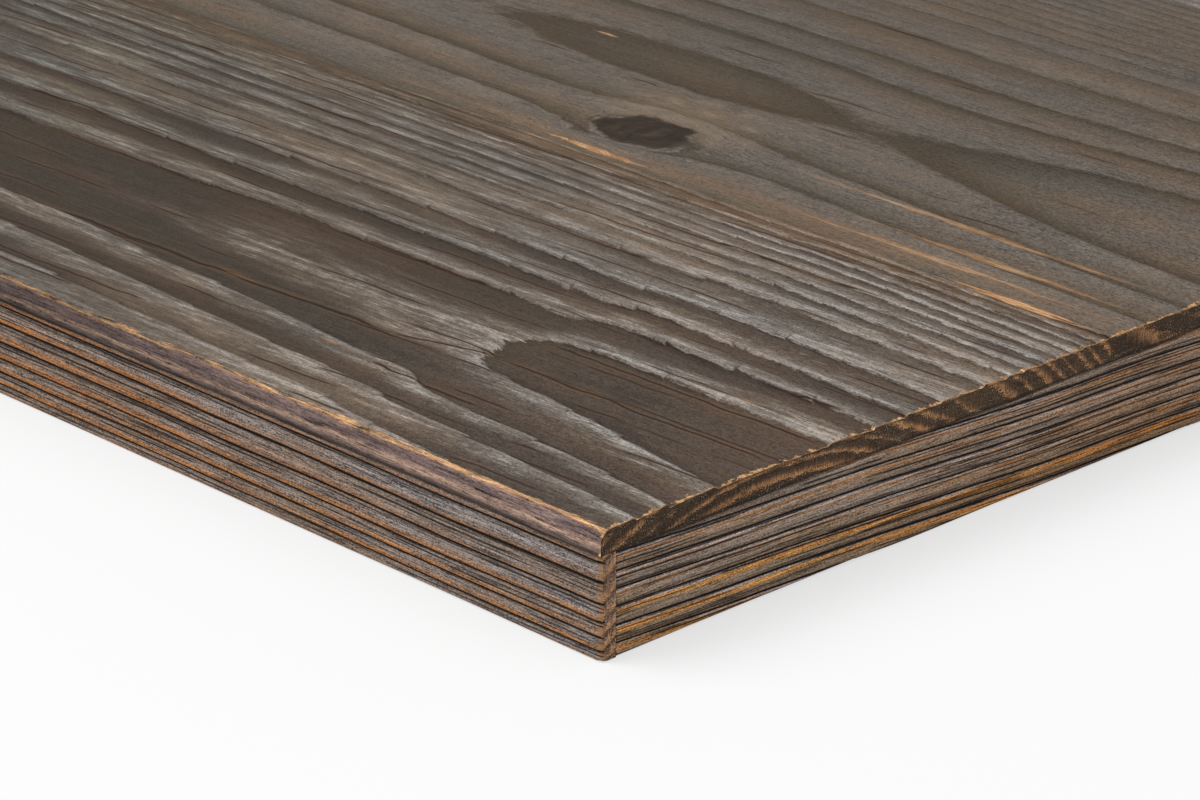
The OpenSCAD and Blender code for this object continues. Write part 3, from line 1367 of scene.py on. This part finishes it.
    def fresh_wood(self, paint: FacePaint, colour: Wire) -> Wire:
        """Wears the end arris down to fresh wood, and lays the splinters.

        Args:
            paint: The material being painted.
            colour: Its colour so far.

        Returns:
            The colour with its fresh wood.
        """
        graph = paint.graph
        chips = graph.add(RANGE, paint.waves["chip"], *self.chipped)
        reach = chips * graph.add(RANGE, paint.phase, *self.fresh_ring)
        fresh = graph.add(RANGE, paint.from_end - reach, *self.fresh_edge)
        fresh = paint.most(fresh, *(splinter.show(paint) for splinter in self.splinters))
        wood = graph.add(RAMP, paint.waves["fleck"], stops=self.fresh)
        return paint.lay(colour, Blend.COVER, (fresh, wood))


# Noises of end grain: smears of dirt, ticks of the saw, dirt in open cells, and chips
END_WAVES = {
    "smear": Spots(2.0, 0.6),
    "ticks": Spots(0.22, 1.6, 3.7),
    "grit": Spots(0.22, 0.2, 7.4),
    "chip": Spots(2.2, 0.5, 11.1),
}


@dataclass(frozen=True)
class OldEnd:
    """Sawn end grain of an old softwood board, dark with dirt and oil in its open cells.

    Each ring keeps one band of clean orange wood, between narrow and wide of its width, with a
    ragged edge towards the heart, and hidden in dirt by up to weak. The upper arris is worn down
    to fresh wood, and the lower one is painted black as the shadow of the joint below it. More
    dirt lies near the board's front edge: over clear_reach mm from there the light it gives back
    rises between the two numbers of clear_light, and only clear of the hiding dirt is left.
    """

    name: str
    band: Tones
    seed: float
    narrow: float = 0.2
    wide: float = 0.7
    ragged: float = 0.16
    # The board's thickness, the depth of the wear on its upper arris and of the painted shadow
    # on its lower one, in mm, and how far both hide the rings
    thickness: float = 4.2
    worn: float = 0.4
    worn_edge: Span = (0.05, -0.1)
    low_edge: float = 0.3
    edged: float = 0.85
    # How far dirt hides the band, where smears are weak, and how rough dirt makes the rest
    weak: float = 0.85
    weak_part: Span = (0.85, 0.1)
    rough: float = 1.5
    clear_reach: Span = (30.0, 50.0)
    clear_light: Span = (0.84, 1.15)
    clear: float = 0.6
    # Open cells, fresh wood, black painted shadow on the lower arris, and specks of pale dust
    open: str = "#4a3a29"
    fresh: str = "#b3875c"
    dirt: str = "#221811"
    dust: str = "#9b8f84"
    dust_part: Change = (0.97, 1.05, 0.0, 0.8)

    def material(self) -> bpy.types.Material:
        """Paints the material.

        Returns:
            The material.
        """
        paint = Paint(self.name, END_WAVES, self.seed)
        graph, smear, ticks = paint.graph, paint.waves["smear"], paint.waves["ticks"]
        place = paint.ring + paint.swing(smear=0.14)
        number = graph.add(MATH, place, operation="FLOOR")
        chance = graph.add(MATH, number * GOLDEN + self.seed, operation="FRACT")
        share = graph.add(RANGE, chance, 0.0, 1.0, self.narrow, self.wide)
        band = (place - number - ticks * self.ragged) / share + paint.swing(grit=0.5)
        colour = graph.add(RAMP, band, stops=self.band)
        weak = graph.add(RANGE, smear + (chance - 0.5), *self.weak_part, 0.0, self.weak)
        weak = weak * graph.add(RANGE, paint.across, *self.clear_reach, 1.0, self.clear)
        colour = paint.lay(colour, Blend.COVER, (weak, self.open))
        light = paint.swing(1.0, grit=self.rough, smear=0.6, ticks=0.5)
        light = light * graph.add(RANGE, paint.across, *self.clear_reach, *self.clear_light)
        colour = paint.brighten(colour, light)
        chipped = paint.depth - paint.waves["chip"] * self.worn
        edge = graph.add(RANGE, chipped, *self.worn_edge, 0.0, self.edged)
        # Painted shadow: the lower arris turns black over the joint below the board's end
        low = graph.add(RANGE, paint.depth + smear * self.low_edge,
                        self.thickness - self.low_edge, self.thickness, 0.0, self.edged)
        specks = graph.add(RANGE, paint.swing(0.5, grit=1.0, chip=0.4), *self.dust_part)
        colour = paint.lay(colour, Blend.COVER, (edge, self.fresh), (low, self.dirt),
                           (specks, self.dust))
        height = paint.swing(0.75, grit=1.0, ticks=0.5)
        return paint.finish(colour, height, deep=0.15, roughness=0.85)


# Noises of a strip's face: coarse and finer fibres, single fibres, dirt in open cells, and patches
STRIP_WAVES = {
    "mottle": Streaks(16.0, 0.8, 3.0, 0.6),
    "fleck": Streaks(2.0, 0.28, 3.0, 0.6, 3.0),
    "hair": Streaks(12.0, 0.2, 1.0, 0.5, 11.0),
    "grit": Streaks(0.4, 0.18, 2.0, 0.7, 9.0),
    "patch": Streaks(40.0, 4.0, shift=5.0),
}


@dataclass(frozen=True)
class OldStrip:
    """Brushed face of a strip ripped from the same old boards.

    The rings are ring mm wide. The brush cut a groove at the edge of each, painted black as the
    shade in it, and fine lines into the soft wood below it, and left a ridge of hard wood above
    the next groove. Rings below the first few keep more orange wood, and patches are dulled with
    grey. Over far_reach mm along the grain the wood takes far_tint, and far_rings more of its
    rings keep the orange; level is its lightness. The ends take end_tint over end_reach mm: worn
    orange where they are open, black with dirt where they butt against another strip. A band
    along the top, close under the deck, is painted black as the deck's shadow.
    """

    name: str
    tones: Tones
    deep_tones: Tones
    seed: float
    brown: str
    lined: Span
    end_tint: str
    end_reach: float
    deep_from: Span
    far_tint: str
    level: float
    far_reach: Span = (40.0, 115.0)
    far_rings: float = 0.0
    ring: float = 2.65
    dulled: float = 0.7
    dull_part: Span = (0.45, 0.9)
    warm_patch: Span = (0.2, 0.8)
    # The brush's hairlines and lines, its grooves, in rings from a ring's middle, and the painted
    # shadow close under the deck, in mm from it
    hairs: Checks = Checks(0.45, 0.12, 0.6)
    lines: Checks = Checks(1.15, 0.2, 0.65)
    groove_part: Span = (0.405, 0.435)
    under: Span = (0.6, 0.1)
    dull: str = "#867b75"
    grey: str = "#f8f6f6"
    # Near black of the grooves and of the deck's shadow: painted shade
    groove: str = "#140d09"

    def material(self) -> bpy.types.Material:
        """Paints the material.

        Returns:
            The material.
        """
        paint = Paint(self.name, STRIP_WAVES, self.seed)
        graph = paint.graph
        phase = graph.add(MATH, paint.ring, operation="FRACT")
        place = phase + paint.swing(mottle=0.1, fleck=0.07)
        far = graph.add(RANGE, paint.along, *self.far_reach)
        low = graph.add(RANGE, paint.ring + far * self.far_rings, *self.deep_from)
        colour = graph.add(BLEND, low, *SKIP, graph.add(RAMP, place, stops=self.tones),
                           graph.add(RAMP, place, stops=self.deep_tones), **TINT)
        dull = graph.add(RANGE, paint.swing(0.5, mottle=1.0, patch=0.5), *self.dull_part, 0.0,
                         self.dulled)
        warm = graph.add(RANGE, paint.swing(0.5, patch=1.0, mottle=0.3), *self.warm_patch)
        patches = graph.add(BLEND, warm, *SKIP, self.grey, self.brown, **TINT)
        colour = paint.lay(colour, Blend.COVER, (dull, self.dull))
        colour = paint.lay(colour, Blend.STAIN, (1.0, patches), (far, self.far_tint))
        light = paint.swing(self.level, grit=1.3, fleck=0.6, hair=0.7, mottle=0.15)
        colour = paint.brighten(colour, light)
        near_end = graph.add(RANGE, paint.from_end + paint.swing(fleck=0.6), self.end_reach,
                             self.end_reach * 0.3, 0.0, 0.75)
        dark = self.grooves(paint, phase)
        # Painted shade: near black in the grooves and in the deck's shadow along the top
        colour = paint.lay(colour, Blend.COVER, (near_end, self.end_tint), (dark, self.groove))
        height = paint.swing(0.4, grit=0.4, fleck=0.4) - dark
        return paint.finish(colour, height, deep=0.2)

    def grooves(self, paint: Paint, phase: Wire) -> Wire:
        """Cuts the brush's lines and grooves, and lays the painted shadow under the deck.

        Args:
            paint: The material being painted.
            phase: Where in its ring each point lies.

        Returns:
            1 in a groove or in the painted shadow, and 0 elsewhere.
        """
        graph = paint.graph
        soft = graph.add(RANGE, phase + paint.swing(mottle=0.4), *self.lined, 1.0, 0.15)
        lanes = paint.ring * self.ring
        hair = self.hairs.open(paint, lanes, self.seed)[0]
        line = self.lines.open(paint, lanes, self.seed + 5.0)[0]
        line = paint.most(hair * 0.85, line) * soft
        edge = graph.add(MATH, phase - 0.5, operation="ABSOLUTE")
        edge = edge + paint.swing(fleck=0.03, mottle=0.03)
        # The groove at each ring's edge, painted black as the shade in it
        groove = graph.add(RANGE, edge, *self.groove_part)
        # Painted shadow of the deck along the strip's top edge
        under = graph.add(RANGE, paint.across + paint.swing(mottle=0.4), *self.under, 0.0, 0.9)
        return paint.most(line, groove, under)


@dataclass(frozen=True)
class PlainSpruce:
    """Planed spruce of the core board: pale, with soft straight grain. Nothing shows but its
    underside. Its rings are ring mm wide, and a metre holds so many of the waves in them and so
    many fibres, along the grain and across it twice."""

    name: str = "planed_spruce"
    light: str = "#dcc197"
    dark: str = "#c09a68"
    ring: float = 2.4
    waves: tuple[float, float, float] = (6.0, 90.0, 90.0)
    fibres: tuple[float, float, float] = (120.0, 4000.0, 4000.0)
    nap: float = 0.05

    def material(self) -> bpy.types.Material:
        """Paints the material in Object coordinates, in metres.

        Returns:
            The material.
        """
        material = bpy.data.materials.new(self.name)
        material.use_nodes = True
        graph = Graph(material.node_tree)
        place = graph.add("ShaderNodeTexCoord", out="Object")
        wave, fine = [
            graph.add(NOISE, graph.add(VECTOR, place, scales, operation="MULTIPLY"),
                      links={"Scale": 1.0, "Detail": 2.0})
            for scales in (self.waves, self.fibres)]
        rings = graph.add(SPLIT, place).other("Y") / (self.ring * MM) + wave * 5.0
        part = graph.add(MATH, rings, operation="FRACT")
        colour = graph.add(RAMP, part, stops=((0.0, self.light), (0.7, self.light),
                                              (0.95, self.dark), (1.0, self.light)))
        colour = graph.add(VECTOR, colour, operation="SCALE",
                           links={"Scale": graph.add(RANGE, fine, 0.2, 0.8, 0.88, 1.1)})
        normal = graph.add("ShaderNodeBump", 1.0, self.nap * MM, links={"Height": fine})
        shader = graph.add("ShaderNodeBsdfPrincipled", colour,
                           links={"Roughness": 0.6, "Normal": normal})
        graph.add("ShaderNodeOutputMaterial", shader)
        return material


# ---- the panel ----


@dataclass
class Member:
    """A board or a strip: its blank, how its wood grew, how it weathered, the finishes of its face
    and of its ends, and the name of the slot that it shares with its like, which is not used."""

    blank: Blank
    growth: FlatSawn | QuarterSawn
    weathering: Weathering
    face: bpy.types.Material
    end: bpy.types.Material
    slot: str

    def build(self) -> bpy.types.Object:
        """Grows and weathers the blank, and puts it in place of its node.

        Returns:
            The finished piece.
        """
        name = f"{self.blank.node}_wood"
        piece = bpy.data.objects.new(name, self.blank.mesh())
        bpy.context.scene.collection.objects.link(piece)
        graph = self.weathering.tree(self.growth, self.face, self.end)
        modifier = piece.modifiers.new("weathering", "NODES")
        modifier.node_group = graph.tree
        for identifier, value in graph.inputs.items():
            if value is not None:
                modifier[identifier] = value
        evaluated = piece.evaluated_get(bpy.context.evaluated_depsgraph_get())
        mesh = bpy.data.meshes.new_from_object(evaluated)
        piece.modifiers.remove(modifier)
        piece.data = mesh
        mesh.name = name
        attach(piece, "root")
        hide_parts(self.blank.node)
        LOG.info("%s: %d triangles", name, sum(len(p.vertices) - 2 for p in mesh.polygons))
        return piece


# Height left across one ring of a deck board and of a strip, the two ends first
SHINGLED = ((0.0, 0.3), (1.0, 0.0), (0.07, 1.0), (0.2, 0.85), (0.55, 0.45), (0.9, 0.12),
            (0.96, 0.0))
GROOVED = ((0.0, 0.0), (1.0, 0.0), (0.05, 0.3), (0.15, 0.5), (0.4, 0.65), (0.7, 0.9), (0.85, 1.0),
           (0.94, 0.9), (0.975, 0.1))

# Tones across one ring of the torn boards and of the smooth one, from the ring's edge, and
# across the clean band that a ring keeps on their end grain
# The torn boards' darkest last stop is painted shade at the foot of the next ring's step
DECK_TONES = ((0.0, "#a69f98"), (0.07, "#958e86"), (0.16, "#80766e"), (0.28, "#6b6258"),
              (0.42, "#5c5147"), (0.52, "#554940"), (0.7, "#54483f"), (0.95, "#52473d"),
              (1.0, "#483c33"))
SOFT_TONES = ((0.0, "#554a3f"), (0.02, "#5e554a"), (0.05, "#6b6259"), (0.3, "#6e655c"),
              (0.6, "#695f55"), (0.77, "#61594e"), (0.87, "#574d41"), (0.96, "#504639"),
              (1.0, "#504639"))
END_BAND = ((0.0, "#3c2e22"), (0.15, "#76563a"), (0.35, "#a57950"), (0.6, "#8f6845"),
            (0.85, "#523d2b"), (1.0, "#413124"))


@dataclass
class Deck:
    """Three old boards, glued edge to edge, which share a tree's habit but not its rings.

    Rows of their grids are row mm apart, or far_row on the two boards behind the front one. Their
    outer arrises are worn to a radius of arris mm. The tree's heart lies heart mm below a face,
    or above it. The two outer boards are torn, and the middle one is smooth.
    """

    row: float = 0.35
    far_row: float = 0.55
    arris: float = 2.0
    heart: float = 64.0
    axes: Direction = Direction((-1, 0, 0), (0, 1, 0), (0, 0, 1))
    torn: Tearing = Tearing()
    smooth: Tearing = Tearing(length=20.0, overlap=0.012, split=0.1, fray=0.006,
                              nose_fray=0.006)
    # Distances from the front board's joint between which its glue soaked in, in mm
    glue: Span = (7.0, 4.0)
    # Strands of fresh wood on the front board and on the middle one, where the long faint ones
    # follow their joint
    splinters: tuple[Splinter, ...] = (
        Splinter(16.0, 47.2, 7.0, 0.6, 0.4), Splinter(75.0, 19.2, 7.0, 0.3, 0.4),
        Splinter(104.0, 27.4, 12.0, 0.2, 0.4), Splinter(-60.0, 103.0, 240.0, 1.6, 0.05))
    smooth_splinters: tuple[Splinter, ...] = (
        Splinter(1.0, 0.2, 36.0, 0.7), Splinter(99.0, 1.8, 31.0, 0.8, 0.8),
        Splinter(0.0, 5.0, 80.0, 0.7, 0.5), Splinter(0.0, 10.2, 66.0, 0.8, 0.5),
        Splinter(0.0, 18.8, 90.0, 0.8, 0.5), Splinter(154.0, 45.5, 7.0, 0.5, 0.7),
        Splinter(-60.0, 3.0, 240.0, 2.6, 0.07))
    # Long cracks of the front board
    long_checks: tuple[LongCheck, ...] = (
        LongCheck(0.5, 33.8, 57.0, -1.0), LongCheck(57.5, 32.8, 17.0, -4.6),
        LongCheck(74.0, 28.2, 96.0, -3.6, 0.5), LongCheck(0.5, 43.9, 56.0, -1.6),
        LongCheck(45.0, 18.1, 24.0, 0.2))

    def faces(self) -> list[bpy.types.Material]:
        """Paints the finishes of the boards' faces.

        Returns:
            One for each board, from the front to the back.
        """
        low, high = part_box("deck_board_1")
        width = (high - low).y / MM
        joint = Splinter(1.0, width, 36.0, 0.7)
        # Silver grey scales over dark brown wood, frayed and cracked, with stains of glue
        front = OldFace("weathered_softwood_torn", self.torn, DECK_TONES, 2.0,
                        edge_reach=tuple(width - away for away in self.glue),
                        splinters=(joint, *self.splinters), long_checks=self.long_checks)
        # Even grey brown, darkest towards each ring's edge, with hardly a crack
        middle = OldFace("weathered_softwood_smooth", self.smooth, SOFT_TONES, 12.0, blend=0.03,
                         pinch=0.0, narrow_rings=(1.5, 4.0), narrow_pale=0.8, calm=0.0, vary=0.0,
                         gleam=0.0, soft=0.01, checks=Checks(6.5, 0.3, 0.05), hug=0.2,
                         far_tint="#ffffff", far_brown="#ffffff", edge_reach=(15.0, 45.0),
                         edge_tint="#f3f3f3", rim_light=1.0, streaky=0.22,
                         splinters=self.smooth_splinters)
        # As on the front board, with patches and cracks of its own
        back = OldFace("weathered_softwood_back", self.torn, DECK_TONES, 23.0)
        return [face.material() for face in (front, middle, back)]

    def build(self) -> list[bpy.types.Object]:
        """Builds the boards.

        Returns:
            The finished boards.
        """
        faces = self.faces()
        end = OldEnd("old_softwood_end_grain", END_BAND, 1.57).material()
        torn_wear = Weathering(SHINGLED, self.torn)
        boards = (
            (Blank("deck_board_1", self.axes, self.row, 1.25, front_round=self.arris),
             FlatSawn(33.6, self.heart, 0.0075, Face.BARK_SIDE, (Rise(58.5, 0.8, 3.5),),
                      veer=4.6, veer_reach=70.0, seed=4.0),
             torn_wear),
            (Blank("deck_board_2", self.axes, self.far_row, 1.5),
             FlatSawn(41.5, self.heart, 0.0031, Face.HEART_SIDE,
                      (Rise(50.7, 1.87, 31.1), Rise(105.7, -0.87, 16.9), Rise(168.5, 0.53, 18.1)),
                      (Knot(115.0, 13.8, 6.5),), veer=0.0, sway=0.1, wander=0.2, first=-3.894,
                      wide_at=14.5, wide_reach=10.0, wide_drop=3.5, seed=9.0),
             Weathering(SHINGLED, self.smooth, relief=0.14)),
            (Blank("deck_board_3", self.axes, self.far_row, 2.0, back_round=self.arris),
             FlatSawn(38.0, self.heart, 0.009, Face.BARK_SIDE, (Rise(140.0, 1.2, 25.0),),
                      seed=17.0),
             torn_wear),
        )
        return [Member(*board, face, end, "weathered_deck").build()
                for board, face in zip(boards, faces)]


# Tones across one ring of the long strips and of the end strips, near their top and lower down,
# and across the band that a ring keeps on their end grain
# Each ring's tones darken at both ends into its groove's painted shade
STRIP_TONES = ((0.0, "#4a3e36"), (0.07, "#756b65"), (0.2, "#8b837f"), (0.45, "#958c89"),
               (0.68, "#948a85"), (0.79, "#957b6b"), (0.87, "#a07247"), (0.93, "#7a5a40"),
               (1.0, "#2a1e17"))
LOW_STRIP_TONES = ((0.0, "#4a3e36"), (0.07, "#756b65"), (0.2, "#8a827e"), (0.5, "#958b87"),
                   (0.63, "#967f70"), (0.74, "#b5814f"), (0.89, "#a87544"), (0.94, "#6b503b"),
                   (1.0, "#2a1e17"))
END_STRIP_TONES = ((0.0, "#3a2e26"), (0.06, "#9d918b"), (0.24, "#aea19a"), (0.3, "#a17855"),
                   (0.38, "#946e48"), (0.45, "#94867b"), (0.6, "#8b7d71"), (0.92, "#796a5e"),
                   (1.0, "#2a1e17"))
LOW_END_STRIP_TONES = ((0.0, "#3a2e26"), (0.06, "#9d918b"), (0.16, "#aea19a"), (0.2, "#b5834f"),
                       (0.36, "#cf9552"), (0.46, "#a47e4f"), (0.53, "#8c7b69"), (0.9, "#7a6857"),
                       (1.0, "#2a1e17"))
STRIP_END_BAND = ((0.0, "#4f3a2d"), (0.2, "#755c4e"), (0.45, "#8d6f5b"), (0.68, "#b58a63"),
                  (0.88, "#a5774d"), (1.0, "#503a2c"))


# How a strip's wood grew, how it weathered, and its finish
Kind = tuple[QuarterSawn, Weathering, bpy.types.Material]


@dataclass
class Lipping:
    """The four strips round the core: two as long as the panel, and two between them.

    Rows of their grids are row mm apart, and columns from fine to coarse mm. Their lower arris is
    eased to a radius of ease mm.
    """

    row: float = 0.17
    fine: float = 1.5
    coarse: float = 4.0
    layers: int = 3
    ease: float = 0.4

    def kinds(self) -> tuple[Kind, Kind]:
        """Says how the long strips and the end strips differ.

        Returns:
            The wood of a long strip, and that of an end strip.
        """
        # Grey ridges between grooves painted black as their shade, with orange wood over each
        # groove
        grey = OldStrip("weathered_strip_grey", STRIP_TONES, LOW_STRIP_TONES, 31.0,
                        brown="#f7e8d8", lined=(0.5, 0.75), end_tint="#9a6d44", end_reach=1.0,
                        deep_from=(1.8, 3.4), far_tint="#fcefe0", level=0.93, far_rings=2.6)
        # Pale and golden ridges, over grey brown wood down to the next groove
        brown = OldStrip("weathered_strip_brown", END_STRIP_TONES, LOW_END_STRIP_TONES, 43.0,
                         brown="#f6e6d0", lined=(0.85, 1.0), end_tint="#1a110c", end_reach=0.4,
                         deep_from=(2.7, 3.1), far_tint="#fff5eb", level=1.02, dulled=0.25)
        long_wood = QuarterSawn(2.58, 1.66, 0.0, 0.58, bend=0.5, swing=0.243, swing_length=2.73,
                                swing_start=4.45, seed=3.0)
        short_wood = QuarterSawn(2.72, 0.3, 0.042, 0.3, swing=0.0, seed=6.0)
        lines = Tearing(length=20.0, overlap=0.0, split=0.0, fray=0.03)
        wear = Weathering(GROOVED, lines, relief=0.55, fade=1.0, calm=1.0, worn=0.45,
                          worn_reach=1.2)
        return ((long_wood, wear, grey.material()),
                (short_wood, replace(wear, worn=0.0), brown.material()))

    def build(self) -> list[bpy.types.Object]:
        """Builds the strips.

        Returns:
            The finished strips.
        """
        long_kind, short_kind = self.kinds()
        end = OldEnd("strip_end_grain", STRIP_END_BAND, 2.0, narrow=0.95, wide=1.0,
                     thickness=100.0, worn=0.1, weak=0.1, rough=0.8,
                     clear_light=(1.0, 1.0)).material()
        sides = (
            ("edge_strip_front", Direction((-1, 0, 0), (0, 0, -1), (0, -1, 0)), long_kind),
            ("edge_strip_back", Direction((1, 0, 0), (0, 0, -1), (0, 1, 0)), long_kind),
            ("end_strip_right", Direction((0, 1, 0), (0, 0, -1), (1, 0, 0)), short_kind),
            ("end_strip_left", Direction((0, -1, 0), (0, 0, -1), (-1, 0, 0)), short_kind),
        )
        pieces = []
        for node, axes, kind in sides:
            blank = Blank(node, axes, self.row, self.fine, self.coarse, layers=self.layers,
                          back_round=self.ease, open_ends=kind is long_kind)
            pieces.append(Member(blank, *kind, end, "weathered_strip").build())
        return pieces


@dataclass
class Core:
    """The plain core board, which keeps its own shape and gets planed spruce."""

    node: str = "core_board"

    def build(self) -> None:
        """Gives the core its finish."""
        finish = PlainSpruce().material()
        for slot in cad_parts[self.node].material_slots:
            slot.material = finish
        LOG.info("%s: dressed", self.node)


# ---- studio ----


@dataclass(frozen=True)
class Lamp:
    """A square soft lamp that faces the panel: where it stands and its width, in metres, and its
    power, in watts."""

    name: str
    place: tuple[float, float, float]
    width: float
    power: float

    def hang(self) -> None:
        """Makes the lamp."""
        data = bpy.data.lights.new(self.name, "AREA")
        data.size = self.width
        data.energy = self.power
        lamp = bpy.data.objects.new(self.name, data)
        lamp.location = self.place
        lamp.rotation_euler = (-Vector(self.place)).to_track_quat("-Z", "Y").to_euler()
        bpy.context.scene.collection.objects.link(lamp)


@dataclass
class Studio:
    """A white floor, soft light from above and one camera over the panel's near corner.

    The lens and the sensor are in mm, the camera's place and near limit in metres, and the angles
    in degrees. The floor gives back the lamps' light as paper does, and is bleached to white for
    the camera by a share called bleach. It lies floor_drop below the panel, so that the two don't
    touch. sky is how strongly the background lights the panel.
    """

    lens: float = 153.4
    sensor: float = 36.0
    near: float = 0.01
    camera_at: tuple[float, float, float] = (0.7642, -0.5891, 0.2989)
    azimuth: float = 46.6
    elevation: float = 22.12
    lamps: tuple[Lamp, ...] = (Lamp("key", (-0.6, -1.0, 1.5), 1.4, 26.0),
                               Lamp("fill", (1.6, -0.4, 0.9), 1.6, 10.0))
    floor_size: float = 8.0
    floor_drop: float = 0.1 * MM
    bleach: float = 0.6
    paper: str = "#e8e8e8"
    white: str = "#ffffff"
    sky: float = 0.55

    def build(self) -> None:
        """Sets up the camera, the lamps, the floor and the background."""
        self.camera()
        for lamp in self.lamps:
            lamp.hang()
        self.floor()
        self.backdrop()
        bpy.context.scene.view_settings.view_transform = "Standard"
        LOG.info("studio: lit")

    def camera(self) -> None:
        """Makes the camera."""
        data = bpy.data.cameras.new("camera")
        data.lens = self.lens
        data.sensor_width = self.sensor
        data.clip_start = self.near
        camera = bpy.data.objects.new("camera", data)
        bpy.context.scene.collection.objects.link(camera)
        turn, tilt = math.radians(self.azimuth), math.radians(self.elevation)
        back = Vector((math.sin(turn) * math.cos(tilt), -math.cos(turn) * math.cos(tilt),
                       math.sin(tilt)))
        camera.location = self.camera_at
        camera.rotation_euler = (-back).to_track_quat("-Z", "Y").to_euler()
        bpy.context.scene.camera = camera

    def floor(self) -> None:
        """Makes the floor, which is white to the camera and still takes a shadow."""
        half = self.floor_size / 2
        corners = [(x * half, y * half, -self.floor_drop)
                   for x, y in ((-1, -1), (1, -1), (1, 1), (-1, 1))]
        mesh = bpy.data.meshes.new("floor")
        mesh.from_pydata(corners, [], [(0, 1, 2, 3)])
        floor = bpy.data.objects.new("floor", mesh)
        bpy.context.scene.collection.objects.link(floor)
        material = bpy.data.materials.new("white_paper_floor")
        material.use_nodes = True
        graph = Graph(material.node_tree)
        paper = graph.add("ShaderNodeBsdfDiffuse", self.paper)
        glow = graph.add("ShaderNodeEmission", self.white, 1.0)
        seen = graph.add("ShaderNodeLightPath", out="Is Camera Ray")
        shown = graph.add("ShaderNodeMixShader", seen * self.bleach, paper, glow)
        graph.add("ShaderNodeOutputMaterial", shown)
        mesh.materials.append(material)

    def backdrop(self) -> None:
        """Makes the world white to the camera, and pale grey as a light."""
        world = bpy.data.worlds.new("studio")
        world.use_nodes = True
        graph = Graph(world.node_tree)
        light = graph.add("ShaderNodeBackground", self.white, self.sky)
        white = graph.add("ShaderNodeBackground", self.white, 1.0)
        seen = graph.add("ShaderNodeLightPath", out="Is Camera Ray")
        graph.add("ShaderNodeOutputWorld", graph.add("ShaderNodeMixShader", seen, light, white))
        bpy.context.scene.world = world


def main() -> None:
    """Builds the studio and the panel, piece by piece."""
    logging.basicConfig(level=logging.INFO, format="%(name)s: %(message)s")
    Studio().build()
    Deck().build()
    Lipping().build()
    Core().build()


if __name__ == "__main__":
    main()
